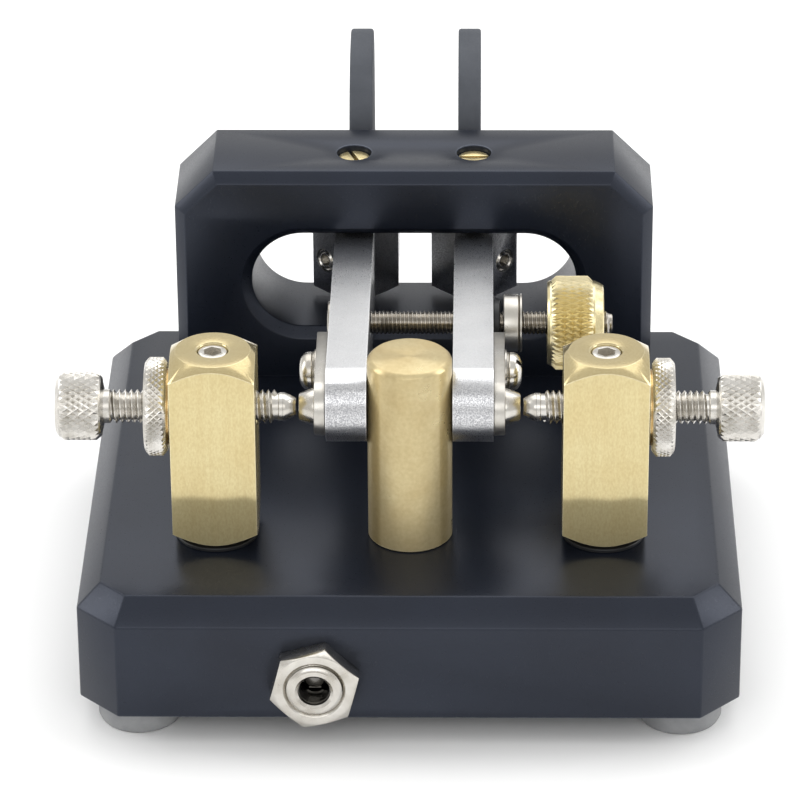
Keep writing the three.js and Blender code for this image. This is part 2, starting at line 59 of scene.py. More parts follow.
def add_node(tree, kind, settings=None, links=None):
    """Adds a node, sets its sockets or properties, and links its inputs to other nodes' outputs."""
    node = tree.nodes.new(kind)
    for key, value in (settings or {}).items():
        if isinstance(key, int) or key in node.inputs:
            node.inputs[key].default_value = value
        else:
            setattr(node, key, value)
    for key, source in (links or {}).items():
        output = source.outputs[0] if isinstance(source, bpy.types.Node) else source
        tree.links.new(output, node.inputs[key])
    return node


def new_finish(name):
    """An empty material and its node tree with a Principled shader wired to the output."""
    material = bpy.data.materials.new(name)
    material.use_nodes = True
    tree = material.node_tree
    tree.nodes.clear()
    shader = add_node(tree, "ShaderNodeBsdfPrincipled")
    add_node(tree, "ShaderNodeOutputMaterial", links={"Surface": shader})
    return material, tree, shader


side = Vector((math.cos(YAW), math.sin(YAW), 0))
ahead = Vector((-math.sin(YAW) * math.cos(PITCH), math.cos(YAW) * math.cos(PITCH), -math.sin(PITCH)))
lift = Vector((-math.sin(YAW) * math.sin(PITCH), math.cos(YAW) * math.sin(PITCH), math.cos(PITCH)))
camera_data = bpy.data.cameras.new("camera")
camera_data.lens = LENS_MM
camera_data.clip_start = 0.01
camera = bpy.data.objects.new("camera", camera_data)
right = side * math.cos(ROLL) + lift * math.sin(ROLL)
up = lift * math.cos(ROLL) - side * math.sin(ROLL)
turn = Matrix((right, up, -ahead)).transposed().to_4x4()
camera.matrix_world = Matrix.Translation(EYE) @ turn
bpy.context.scene.collection.objects.link(camera)
bpy.context.scene.camera = camera
bpy.context.scene.view_settings.view_transform = "Standard"

world = bpy.data.worlds.new("studio")
bpy.context.scene.world = world
world.use_nodes = True
# the room is bright behind and above the key and darker on the side it is seen from
backdrop = world.node_tree.nodes["Background"]
way = add_node(world.node_tree, "ShaderNodeTexCoord")
axes = add_node(world.node_tree, "ShaderNodeSeparateXYZ", links={0: way.outputs["Generated"]})
room = add_node(world.node_tree, "ShaderNodeMapRange", {"interpolation_type": "SMOOTHSTEP", "From Min": -0.62,
                                                        "From Max": -0.12, "To Min": 0.88, "To Max": 0.94},
                {"Value": axes.outputs["Y"]})
backdrop.inputs["Color"].default_value = linear("#f6f6f5")
world.node_tree.links.new(room.outputs[0], backdrop.inputs["Strength"])

floor_bm = bmesh.new()
bmesh.ops.create_grid(floor_bm, x_segments=1, y_segments=1, size=2.5)
floor_mesh = bpy.data.meshes.new("floor")
floor_bm.to_mesh(floor_mesh)
floor_bm.free()
floor = bpy.data.objects.new("floor", floor_mesh)
bpy.context.scene.collection.objects.link(floor)
paper, _, paper_shader = new_finish("white_paper_sweep")
paper_shader.inputs["Base Color"].default_value = linear("#f7f7f7")
paper_shader.inputs["Roughness"].default_value = 0.9
paper_shader.inputs["Specular IOR Level"].default_value = 0.1
floor_mesh.materials.append(paper)

# place, aim, width and depth in metres, watts
PANELS = {
    "overhead": ((0.05, 0.42, 0.80), (0, 0, 0), 1.3, 0.8, 4.6),
    "left": ((-0.80, 0.05, 0.40), (0, 0, 0.02), 0.35, 0.6, 2.0),
    "right": ((0.80, 0.05, 0.40), (0, 0, 0.02), 0.35, 0.6, 2.0),
    "front": ((0.0, -0.80, 0.50), (0, 0, 0), 1.1, 0.4, 1.6),
}
for name, (place, aim, width, depth, watts) in PANELS.items():
    panel = bpy.data.lights.new(name, "AREA")
    panel.shape = "RECTANGLE"
    panel.size = width
    panel.size_y = depth
    panel.energy = watts
    lamp = bpy.data.objects.new(name, panel)
    lamp.location = place
    lamp.rotation_euler = (Vector(aim) - Vector(place)).to_track_quat("-Z", "Y").to_euler()
    bpy.context.scene.collection.objects.link(lamp)

# --- Base block -------------------------------------------------------------------------
# A milled aluminium slab with cut corners and a wide top chamfer, black anodised, with a
# bay milled in its underside for the jack socket and its wires.
# Pieces are drawn in millimetres from the middle of the base's underside.
BASE_W, BASE_D, BASE_H = 78.0, 72.0, 15.0
BASE_CUT, BASE_CHAMFER = 4.8, 2.8
BAY = [(-28.5, -12.5), (-28.5, -23.5), (-19.5, -23.5), (-19.5, -33), (3.5, -33), (3.5, -23.5), (28.5, -23.5),
       (28.5, -12.5)]
BAY_TOP = 11.0
JACK_X, JACK_Z, JACK_END = -11.0, 5.2, -38.8
BUSH_R = 3.3
FRAME_SCREW_X, PIVOT_X, PIVOT_Y = 22.0, 7.47, 27.45
MM = 0.001
base_low, base_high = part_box("base_block")
DRAWN_TO_ROW = Matrix.Translation(((base_low[0] + base_high[0]) / 2, (base_low[1] + base_high[1]) / 2,
                                   base_low[2])) @ Matrix.Scale(MM, 4)


def prism(outline, low, high):
    """A straight prism on an outline, from height low to height high."""
    bm = bmesh.new()
    face = bm.faces.new([bm.verts.new((x, y, low)) for x, y in outline])
    grown = bmesh.ops.extrude_face_region(bm, geom=[face])["geom"]
    bmesh.ops.translate(bm, verts=[v for v in grown if isinstance(v, bmesh.types.BMVert)],
                        vec=(0, 0, high - low))
    bmesh.ops.recalc_face_normals(bm, faces=bm.faces)
    return bm


def cuboid(x0, x1, y0, y1, z0, z1):
    bm = bmesh.new()
    sizes = Matrix.Diagonal((x1 - x0, y1 - y0, z1 - z0, 1))
    bmesh.ops.create_cube(bm, size=1, matrix=Matrix.Translation(((x0 + x1) / 2, (y0 + y1) / 2,
                                                                 (z0 + z1) / 2)) @ sizes)
    return bm


def moved(bm, *matrices):
    for matrix in matrices:
        bmesh.ops.transform(bm, matrix=matrix, verts=bm.verts)
    return bm


def along_x(sign=1):
    """Turns a piece drawn along Z to run along X, outward on the given side."""
    return Matrix.Rotation(sign * math.pi / 2, 4, "Y")


def along_y():
    return Matrix.Rotation(-math.pi / 2, 4, "X")


def spun(profile, facets=96):
    """A body turned about Z from (radius, height) points."""
    bm = bmesh.new()
    points = [bm.verts.new((r, 0, h)) for r, h in profile]
    lines = [bm.edges.new(pair) for pair in zip(points, points[1:])]
    bmesh.ops.spin(bm, geom=points + lines, cent=(0, 0, 0), axis=(0, 0, 1), dvec=(0, 0, 0), angle=2 * math.pi,
                   steps=facets, use_merge=True)
    bmesh.ops.remove_doubles(bm, verts=bm.verts, dist=1e-4)
    bmesh.ops.recalc_face_normals(bm, faces=bm.faces)
    return bm


def rod(radius, low, high, facets=64):
    return spun([(0, low), (radius, low), (radius, high), (0, high)], facets)


def facing_out(bm):
    """Turns an open-ended sleeve's faces away from the Z axis."""
    bmesh.ops.recalc_face_normals(bm, faces=bm.faces)
    middles = [(f.normal, f.calc_center_median()) for f in bm.faces]
    if sum(normal.dot(Vector((middle.x, middle.y, 0))) for normal, middle in middles) < 0:
        bmesh.ops.reverse_faces(bm, faces=bm.faces)
    return bm


def arc(start, sweep, steps):
    """Angles in radians along an arc given in degrees."""
    return [math.radians(start + sweep * k / steps) for k in range(steps + 1)]


def at(x, y, z):
    return Matrix.Translation((x, y, z))


def chamfer(bm, edges, width, segments=1):
    bmesh.ops.bevel(bm, geom=edges, offset=width, offset_type="OFFSET", segments=segments, profile=0.5,
                    affect="EDGES", clamp_overlap=True, material=-1)
    return bm


def eased(bm, width, degrees=30, segments=2):
    """Breaks every edge sharper than the given angle, as a deburring pass does."""
    limit = math.radians(degrees)
    sharp = [e for e in bm.edges if e.is_manifold and e.calc_face_angle(0) > limit]
    return chamfer(bm, sharp, width, segments)


def together(*parts):
    """Several closed shells in one mesh."""
    bm = parts[0]
    for part in parts[1:]:
        carrier = bpy.data.meshes.new("carrier")
        part.to_mesh(carrier)
        bm.from_mesh(carrier)
        part.free()
        bpy.data.meshes.remove(carrier)
    return bm


def carved(bm, tool, operation="DIFFERENCE"):
    """The first body cut by, joined to or kept inside the second."""
    holders = []
    for part in (bm, tool):
        mesh = bpy.data.meshes.new("carve")
        part.to_mesh(mesh)
        part.free()
        holder = bpy.data.objects.new("carve", mesh)
        bpy.context.scene.collection.objects.link(holder)
        holders.append(holder)
    modifier = holders[0].modifiers.new("carve", "BOOLEAN")
    modifier.object = holders[1]
    modifier.operation = operation
    modifier.solver = "EXACT"
    graph = bpy.context.evaluated_depsgraph_get()
    result = bpy.data.meshes.new_from_object(holders[0].evaluated_get(graph))
    out = bmesh.new()
    out.from_mesh(result)
    bmesh.ops.remove_doubles(out, verts=out.verts, dist=1e-4)
    for holder in holders:
        mesh = holder.data
        bpy.data.objects.remove(holder)
        bpy.data.meshes.remove(mesh)
    bpy.data.meshes.remove(result)
    return out


def place(bm, name, material, body, slot, *nodes, smooth=32):
    """Puts a finished piece in the row frame and hands it to its body. The slot argument is not used."""
    moved(bm, DRAWN_TO_ROW)
    mesh = bpy.data.meshes.new(name)
    bm.to_mesh(mesh)
    bm.free()
    mesh.shade_smooth()
    mesh.set_sharp_from_angle(angle=math.radians(smooth))
    mesh.materials.append(material)
    piece = bpy.data.objects.new(name, mesh)
    bpy.context.scene.collection.objects.link(piece)
    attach(piece, body)
    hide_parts(*nodes)


def worn_edges(tree, width_mm):
    """0 on flats, 1 on edges: where a slightly rounded normal leaves the true one."""
    soft = add_node(tree, "ShaderNodeBevel", {"samples": 4, "Radius": width_mm * MM})
    true = add_node(tree, "ShaderNodeNewGeometry")
    match = add_node(tree, "ShaderNodeVectorMath", {"operation": "DOT_PRODUCT"},
                     {0: soft, 1: true.outputs["Normal"]})
    return add_node(tree, "ShaderNodeMapRange", {"From Min": 0.985, "From Max": 0.93},
                    {"Value": match.outputs["Value"]})


def grain(tree, size_mm, detail=2.0, stretch=(1, 1, 1), roughness=0.5):
    """Noise whose lumps are size_mm across, drawn out along an axis where stretch is above 1."""
    where = add_node(tree, "ShaderNodeTexCoord")
    scale = [1 / s for s in stretch]
    laid = add_node(tree, "ShaderNodeMapping", {"Scale": scale}, {"Vector": where.outputs["Object"]})
    return add_node(tree, "ShaderNodeTexNoise", {"Scale": 1 / (size_mm * MM), "Detail": detail,
                                                 "Roughness": roughness}, {"Vector": laid})


def spread(tree, source, low, high, start=0.3, end=0.7):
    """A noise value spread between two numbers."""
    return add_node(tree, "ShaderNodeMapRange", {"From Min": start, "From Max": end, "To Min": low,
                                                 "To Max": high},
                    {"Value": source})


def blended(tree, amount, first, second):
    """Two colours, or a colour over another node's colour, mixed by amount."""
    node = add_node(tree, "ShaderNodeMix", {"data_type": "RGBA"}, {0: amount})
    for socket, value in ((node.inputs[6], first), (node.inputs[7], second)):
        if isinstance(value, str):
            socket.default_value = linear(value)
        else:
            tree.links.new(value, socket)
    return node.outputs[2]


def textured(tree, shader, strength, depth_mm, height):
    """Wires a bump of the given depth to the shader; strength is a number or a node."""
    settings, links = {"Distance": depth_mm * MM}, {"Height": height}
    if isinstance(strength, bpy.types.Node):
        links["Strength"] = strength
    else:
        settings["Strength"] = strength
    bump = add_node(tree, "ShaderNodeBump", settings, links)
    tree.links.new(bump.outputs[0], shader.inputs["Normal"])


def anodised_black():
    # black anodised aluminium, sandblasted first: near black with a cold blue tint, a soft
    # metallic sheen from the pores, and edges where the dye is thinner and greyer
    material, tree, shader = new_finish("anodised_aluminium_black")
    blast = grain(tree, 0.22, 3.0)
    cloud = grain(tree, 14, 3.0)
    tint = blended(tree, spread(tree, cloud, 0, 1), "#1c212d", "#212734")
    edges = worn_edges(tree, 0.35)
    tree.links.new(blended(tree, edges, tint, "#555b68"), shader.inputs["Base Color"])
    shader.inputs["Metallic"].default_value = 0.55
    shader.inputs["IOR"].default_value = 1.6
    tree.links.new(spread(tree, blast, 0.27, 0.36).outputs[0], shader.inputs["Roughness"])
    textured(tree, shader, 0.35, 0.006, blast)
    return material


BLACK = anodised_black()

x, y, c = BASE_W / 2, BASE_D / 2, BASE_CUT
block = prism([(-x + c, -y), (x - c, -y), (x, -y + c), (x, y - c), (x - c, y), (-x + c, y), (-x, y - c),
               (-x, -y + c)],
              0, BASE_H)
chamfer(block, [e for e in block.edges if all(v.co.z > BASE_H - 0.01 for v in e.verts)], BASE_CHAMFER)
block = carved(block, prism(BAY, -1, BAY_TOP))
holes = moved(rod(BUSH_R + 0.05, -BASE_D / 2 - 1, -32), along_y(), at(JACK_X, 0, JACK_Z))
for hand in (-1, 1):
    holes = together(holes, moved(rod(4, -1, 5), at(hand * FRAME_SCREW_X, PIVOT_Y, 0)))
block = eased(carved(block, holes), 0.22)
place(block, "base_shell", BLACK, "base", "black_anodised", "base_block")

# --- Feet -------------------------------------------------------------------------------
# Four grey rubber pucks glued under the base, one near each corner, with a rolled lower rim
# that they stand on.
FOOT_R, FOOT_H, FOOT_X, FOOT_Y = 5.0, 3.5, 32.0, 29.3


def moulded_rubber():
    # grey rubber moulded in a blasted tool: dull, with a fine skin grain and dust on it
    material, tree, shader = new_finish("moulded_rubber_grey")
    skin = grain(tree, 0.3, 3.0)
    dust = grain(tree, 3.0, 4.0)
    tree.links.new(blended(tree, spread(tree, dust, 0, 1), "#7f8082", "#959697"), shader.inputs["Base Color"])
    shader.inputs["Specular IOR Level"].default_value = 0.35
    tree.links.new(spread(tree, skin, 0.62, 0.8).outputs[0], shader.inputs["Roughness"])
    textured(tree, shader, 0.5, 0.02, skin)
    return material


RUBBER = moulded_rubber()
for end, y in (("front", -FOOT_Y), ("back", FOOT_Y)):
    for hand, x in (("left", -FOOT_X), ("right", FOOT_X)):
        puck = spun([(0, -FOOT_H), (FOOT_R - 0.7, -FOOT_H), (FOOT_R - 0.25, -FOOT_H + 0.15),
                     (FOOT_R, -FOOT_H + 0.7), (FOOT_R, -0.3), (FOOT_R - 0.2, 0), (0, 0)])
        moved(puck, at(x, y, 0))
        place(puck, f"foot_pad_{end}_{hand}", RUBBER, "base", "grey_rubber", f"foot_{end}_{hand}")

# --- Jack socket ------------------------------------------------------------------------
# A panel socket for a 3.5 mm plug: a nickel-plated threaded bushing with a chamfered mouth,
# held to the base's front wall by a plated hexagon nut. A thin sheet inside the bore and the inner contact
# are dark nickel: painted shade in the hole.
NUT_AF, NUT_T, NUT_TURN = 9.45, 2.4, -0.276
JACK_BORE, JACK_BACK, JACK_PITCH = 1.8, -33.1, 0.5


def plated_nickel(name, tint="#d8d5cf", dark="#b9b4ab", low=0.16, high=0.3, scratch=0.35):
    # bright nickel plating over turned steel or brass: warm grey, mirror-like, with hairline
    # scuffs and a faint waviness that breaks up the reflections
    material, tree, shader = new_finish(name)
    haze = grain(tree, 2.2, 4.0)
    hair = grain(tree, 0.18, 2.0, (1, 6, 1))
    tree.links.new(blended(tree, spread(tree, haze, 0, 1), tint, dark), shader.inputs["Base Color"])
    shader.inputs["Metallic"].default_value = 1.0
    tree.links.new(spread(tree, haze, low, high).outputs[0], shader.inputs["Roughness"])
    textured(tree, shader, scratch, 0.004, hair)
    return material


def hexagon(across_flats, turned=0.0):
    r = across_flats / math.sqrt(3)
    return [(r * math.cos(turned + k * math.pi / 3),
             r * math.sin(turned + k * math.pi / 3)) for k in range(6)]


def thread(radius, pitch, low, high, facets=24, sharpness=0.62):
    """A screw thread about Z: one V is spun up a helix, then its root is filled by a core."""
    depth = sharpness * pitch
    bm = bmesh.new()
    points = [bm.verts.new(p) for p in ((radius - depth, 0, low), (radius, 0, low + 0.44 * pitch),
                                        (radius, 0, low + 0.56 * pitch), (radius - depth, 0, low + pitch))]
    lines = [bm.edges.new(pair) for pair in zip(points, points[1:])]
    bm.faces.new(points)
    turns = max(1, math.floor((high - low - pitch) / pitch * facets)) / facets
    swept = bmesh.ops.spin(bm, geom=points + lines, cent=(0, 0, 0), axis=(0, 0, 1),
                           dvec=(0, 0, pitch / facets),
                           angle=2 * math.pi * turns, steps=round(facets * turns), use_merge=False)
    ends = [v for v in swept["geom_last"] if isinstance(v, bmesh.types.BMVert)]
    bm.faces.new(sorted(ends, key=lambda v: v.co.z))
    bmesh.ops.remove_doubles(bm, verts=bm.verts, dist=1e-3)
    return together(facing_out(bm), rod(radius - depth * 0.97, low, high, facets))


NICKEL = plated_nickel("nickel_plated_bright")
to_jack = at(JACK_X, 0, JACK_Z)
mouth = spun([(BUSH_R - 0.62, JACK_END + 0.12), (BUSH_R - 0.5, JACK_END), (JACK_BORE + 0.45, JACK_END),
              (JACK_BORE + 0.12, JACK_END + 0.3), (JACK_BORE + 0.06, JACK_END + 0.6),
              (JACK_BORE + 0.06, JACK_BACK),
              (BUSH_R - 0.05, JACK_BACK), (BUSH_R - 0.05, JACK_END + 0.45), (BUSH_R - 0.3, JACK_END + 0.2),
              (BUSH_R - 0.62, JACK_END + 0.12)], 64)
ridges = bmesh.new()
seed = [ridges.verts.new(p) for p in ((BUSH_R - 0.25, 0, JACK_END + 0.25), (BUSH_R, 0, JACK_END + 0.45),
                                      (BUSH_R, 0, JACK_END + 0.52), (BUSH_R - 0.25, 0, JACK_END + 0.75))]
seed += [ridges.edges.new(pair) for pair in zip(seed, seed[1:])]
bmesh.ops.spin(ridges, geom=seed, cent=(0, 0, 0), axis=(0, 0, 1), dvec=(0, 0, JACK_PITCH / 48),
               angle=2 * math.pi * 3, steps=144, use_merge=False)
bmesh.ops.remove_doubles(ridges, verts=ridges.verts, dist=1e-3)
contact = together(cuboid(-0.7, 0.7, 1.3, 1.5, -35.2, -33.2),
                   spun([(0, -36.1), (1.1, -35.7), (1.55, -34.9), (1.55, -34.7), (0, -34.7)], 48))
place(moved(together(mouth, ridges), along_y(), to_jack), "jack_sleeve", NICKEL, "base", "nickel",
      "jack_bushing")
# a thin dark sheet just inside the bore wall, and the inner contact with it, in darker nickel: painted shade,
# not a part of the socket
bore_shade_sheet = spun([(JACK_BORE, JACK_END + 0.75), (JACK_BORE + 0.04, JACK_END + 0.75), (JACK_BORE + 0.04, -33.15),
              (JACK_BORE, -33.15), (JACK_BORE, JACK_END + 0.75)], 64)
place(moved(together(bore_shade_sheet, contact), along_y(), to_jack), "jack_bore_contact",
      plated_nickel("nickel_painted_shade_bore", "#8a8884", "#5c5a57", 0.2, 0.32), "base", "nickel",
      "jack_bushing")

nut_front, nut_back = -BASE_D / 2 - NUT_T, -BASE_D / 2
r = NUT_AF / math.sqrt(3)
nut = carved(prism(hexagon(NUT_AF, NUT_TURN), nut_front, nut_back),
             spun([(0, nut_front), (NUT_AF / 2 - 0.15, nut_front), (r + 0.1, nut_front + 0.5), (r + 0.1, 0),
                   (0, 0)]),
             "INTERSECT")
nut = carved(nut, spun([(0, nut_front - 1), (BUSH_R + 0.4, nut_front - 1), (BUSH_R + 0.4, nut_front),
                        (BUSH_R + 0.02, nut_front + 0.35), (BUSH_R + 0.02, 0), (0, 0)]))
place(moved(eased(nut, 0.12, 25), along_y(), to_jack), "jack_hex_nut", NICKEL, "base", "nickel", "jack_nut",
      smooth=25)

# --- Upright frame ----------------------------------------------------------------------
# A milled aluminium bridge with cut corners, a front chamfer and a long round-ended window
# for the levers, black anodised like the base and screwed up from underneath.
FRAME_W, FRAME_Y0, FRAME_Y1, FRAME_TOP = 59.5, 20.8, 34.1, 43.2
FRAME_CUT, FRAME_CHAMFER = 4.85, 1.5
WINDOW_X, WINDOW_R, WINDOW_Z = 20.3, 6.5, 28.1
PIVOT_BORE = 2.15
stand_up = Matrix.Rotation(math.pi / 2, 4, "X")
x, c = FRAME_W / 2, FRAME_CUT
bridge = prism([(-x, BASE_H), (x, BASE_H), (x, FRAME_TOP - c), (x - c, FRAME_TOP), (-x + c, FRAME_TOP),
                (-x, FRAME_TOP - c)], -FRAME_Y1, -FRAME_Y0)
stadium = [(WINDOW_X - WINDOW_R + WINDOW_R * math.cos(a), WINDOW_Z + WINDOW_R * math.sin(a))
           for a in arc(-90, 180, 32)]
stadium += [(-px, 2 * WINDOW_Z - pz) for px, pz in stadium]
bridge = moved(carved(bridge, prism(stadium, -FRAME_Y1 - 1, -FRAME_Y0 + 1)), stand_up)
front = [e for e in bridge.edges if all(abs(v.co.y - FRAME_Y0) < 0.01 for v in e.verts)
         and e.calc_face_angle(0) > 0.5 and not all(abs(v.co.z - BASE_H) < 0.01 for v in e.verts)]
chamfer(bridge, front, FRAME_CHAMFER)
bores = moved(rod(PIVOT_BORE, WINDOW_Z + 3, FRAME_TOP + 1), at(-PIVOT_X, PIVOT_Y, 0))
bores = together(bores, moved(rod(PIVOT_BORE, WINDOW_Z + 3, FRAME_TOP + 1), at(PIVOT_X, PIVOT_Y, 0)))
bridge = eased(carved(bridge, bores), 0.15)
place(bridge, "frame_bridge", BLACK, "base", "black_anodised", "upright_frame")

# --- Pivot screws -----------------------------------------------------------------------
# Slotted brass set screws, sunk just under the frame's top. Their cone points sit in the
# levers' seats and carry them.
PIVOT_R = 2.05
BLOCK_Z1 = 34.1


def axis_rings(tree, centre, axis, spacing_mm):
    """Noise that only changes along a turned part's axis and with its radius: lathe rings."""
    where = add_node(tree, "ShaderNodeTexCoord")
    from_centre = add_node(tree, "ShaderNodeVectorMath", {"operation": "SUBTRACT", 1: centre},
                           {0: where.outputs["Object"]})
    parts = add_node(tree, "ShaderNodeSeparateXYZ", links={0: from_centre})
    across = [k for k in range(3) if k != axis]
    flat = add_node(tree, "ShaderNodeCombineXYZ", links={0: parts.outputs[across[0]],
                                                         1: parts.outputs[across[1]]})
    radius = add_node(tree, "ShaderNodeVectorMath", {"operation": "LENGTH"}, {0: flat})
    reach = add_node(tree, "ShaderNodeMath", {"operation": "ADD"},
                     {0: radius.outputs["Value"], 1: parts.outputs[axis]})
    rings = add_node(tree, "ShaderNodeTexNoise", {"noise_dimensions": "1D", "Scale": 1 / (spacing_mm * MM),
                                                  "Detail": 3.0}, {"W": reach})
    return rings, from_centre


def row_point(x, y, z):
    return tuple(DRAWN_TO_ROW @ Vector((x, y, z)))


def turned_brass(name, centre, axis, light="#e0ce9c", deep="#cfbb84", low=0.2, high=0.3, ring=0.25, depth=0.4,
                 metal=0.7, brush=0.75):
    # free-cutting brass off the lathe: pale yellow metal whose tool rings draw reflections out
    # along the axis, a thin dull oxide over it, browner patches and brighter edges
    material, tree, shader = new_finish(name)
    rings, outward = axis_rings(tree, centre, axis, ring)
    tarnish = grain(tree, 4.5, 5.0, roughness=0.6)
    fine = grain(tree, 0.5, 2.0)
    colour = blended(tree, spread(tree, tarnish, 0, 1), light, deep)
    colour = blended(tree, spread(tree, fine, 0, 0.25), colour, "#a08a5c")
    edges = worn_edges(tree, 0.25)
    tree.links.new(blended(tree, edges, colour, "#ece0b8"), shader.inputs["Base Color"])
    shader.inputs["Metallic"].default_value = metal
    shader.inputs["Anisotropic"].default_value = brush
    tree.links.new(outward.outputs[0], shader.inputs["Tangent"])
    tree.links.new(spread(tree, tarnish, low, high).outputs[0], shader.inputs["Roughness"])
    textured(tree, shader, depth, 0.004, rings)
    return material


for hand, sign, slot_turn in (("left", -1, 1.9), ("right", 1, 0.02)):
    length = FRAME_TOP - 0.6 - BLOCK_Z1
    screw = spun([(0, -1.0), (0.25, -1.0), (PIVOT_R - 0.6, 0.3), (PIVOT_R, 0.9), (PIVOT_R, length - 0.35),
                  (PIVOT_R - 0.12, length - 0.12), (PIVOT_R - 0.4, length), (0, length)], 64)
    slot_cut = moved(cuboid(-3, 3, -0.28, 0.28, length - 0.8, length + 1), Matrix.Rotation(slot_turn, 4, "Z"))
    screw = eased(carved(screw, slot_cut), 0.06, 40)
    moved(screw, at(sign * PIVOT_X, PIVOT_Y, BLOCK_Z1))
    brass = turned_brass(f"turned_brass_pivot_{hand}", row_point(sign * PIVOT_X, PIVOT_Y, 0), 2, "#ecdcaa",
                         "#dcc994", 0.18, 0.28, metal=0.85, brush=0.2)
    place(screw, f"pivot_screw_{hand}", brass, "base", "brass", f"pivot_screw_upper_{hand}")

# --- Stop post --------------------------------------------------------------------------
# A turned brass pillar with a rounded rim, standing between the lever noses. Both levers
# rest against it.
POST_Y, STOP_R, STOP_TOP = -18.3, 5.0, 38.75
stop = spun([(0, BASE_H), (STOP_R - 0.2, BASE_H), (STOP_R, BASE_H + 0.2), (STOP_R, STOP_TOP - 0.62),
             (STOP_R - 0.1, STOP_TOP - 0.4), (STOP_R - 0.45, STOP_TOP - 0.06), (STOP_R - 0.62, STOP_TOP),
             (0, STOP_TOP)], 128)
moved(stop, at(0, POST_Y, 0))
place(stop, "stop_pillar", turned_brass("turned_brass_stop", row_point(0, POST_Y, 0), 2, "#cfc095", "#c2af82",
                                        0.26, 0.36, 0.3, metal=0.65, brush=0.85), "base", "brass",
                                        "stop_post")

# --- Contact posts ----------------------------------------------------------------------
# Square brass bar with both ends turned down to a cone, drawn lengthways so its flats show
# fine upright lines. Each stands on a thin black insulating washer.
POST_X, POST_HALF, POST_TOP, POST_END_R, WASHER_T = 23.0, 5.0, 39.5, 4.4, 0.5
AXIS_Z = 32.0
M4_R, M4_BORE = 1.98, 2.08
POST_CONE_R, POST_CONE_DEGREES = 7.3, 36


def drawn_brass(name, centre):
    # drawn and linished brass bar: fine lines run up the flats and rings round the turned
    # ends, over a pale greenish gold with slow stains
    material, tree, shader = new_finish(name)
    lines = grain(tree, 0.16, 3.0, (1, 1, 60))
    bands = grain(tree, 0.5, 3.0, (1, 1, 30))
    rings, outward = axis_rings(tree, centre, 2, 0.22)
    stains = grain(tree, 5.0, 4.0)
    facing = add_node(tree, "ShaderNodeNewGeometry")
    parts = add_node(tree, "ShaderNodeSeparateXYZ", links={0: facing.outputs["Normal"]})
    upward = add_node(tree, "ShaderNodeMath", {"operation": "ABSOLUTE"}, {0: parts.outputs["Z"]})
    ends = add_node(tree, "ShaderNodeMapRange", {"From Min": 0.3, "From Max": 0.5}, {"Value": upward})
    colour = blended(tree, spread(tree, bands, 0, 0.7), "#dccf9f", "#d3c392")
    colour = blended(tree, spread(tree, stains, 0, 0.4), colour, "#cdb882")
    # the turned ends, picked out by which way they face, are coloured a darker, greyer brass: painted shade
    colour = blended(tree, spread(tree, ends, 0, 0.6, 0, 1), colour, "#b9aa84")
    fleck = grain(tree, 0.22, 2.0, (1, 1, 2))
    colour = blended(tree, spread(tree, fleck, 0, 0.3), colour, "#a8925f")
    edges = worn_edges(tree, 0.2)
    tree.links.new(blended(tree, edges, colour, "#efe5c2"), shader.inputs["Base Color"])
    metal = add_node(tree, "ShaderNodeMapRange", {"To Min": 0.55, "To Max": 0.8}, {"Value": ends})
    tree.links.new(metal.outputs[0], shader.inputs["Metallic"])
    tree.links.new(spread(tree, lines, 0.12, 0.2).outputs[0], shader.inputs["Roughness"])
    # reflections are drawn out across the lines on the flats and outward on the turned ends
    across = add_node(tree, "ShaderNodeVectorMath", {"operation": "CROSS_PRODUCT", 1: (0, 0, 1)},
                      {0: facing.outputs["Normal"]})
    drawn_out = add_node(tree, "ShaderNodeMix", {"data_type": "VECTOR"}, {0: ends, 4: across, 5: outward})
    tree.links.new(drawn_out.outputs[1], shader.inputs["Tangent"])
    shader.inputs["Anisotropic"].default_value = 0.7
    height = add_node(tree, "ShaderNodeMix", {"data_type": "FLOAT"},
                      {0: ends, 2: lines.outputs[0], 3: rings.outputs[0]})
    textured(tree, shader, 0.45, 0.004, height.outputs[0])
    return material


def moulded_black():
    # black nylon, moulded: soft highlight and a faint skin grain
    material, tree, shader = new_finish("moulded_nylon_black")
    skin = grain(tree, 0.25, 2.0)
    tree.links.new(blended(tree, spread(tree, skin, 0, 1), "#141517", "#1d1e20"), shader.inputs["Base Color"])
    tree.links.new(spread(tree, skin, 0.4, 0.55).outputs[0], shader.inputs["Roughness"])
    textured(tree, shader, 0.3, 0.01, skin)
    return material


def machined_steel():
    # zinc-bright machine screws: cool grey with fine random scuffs
    return plated_nickel("machined_steel", "#a8abaf", "#7e8185", 0.25, 0.4)


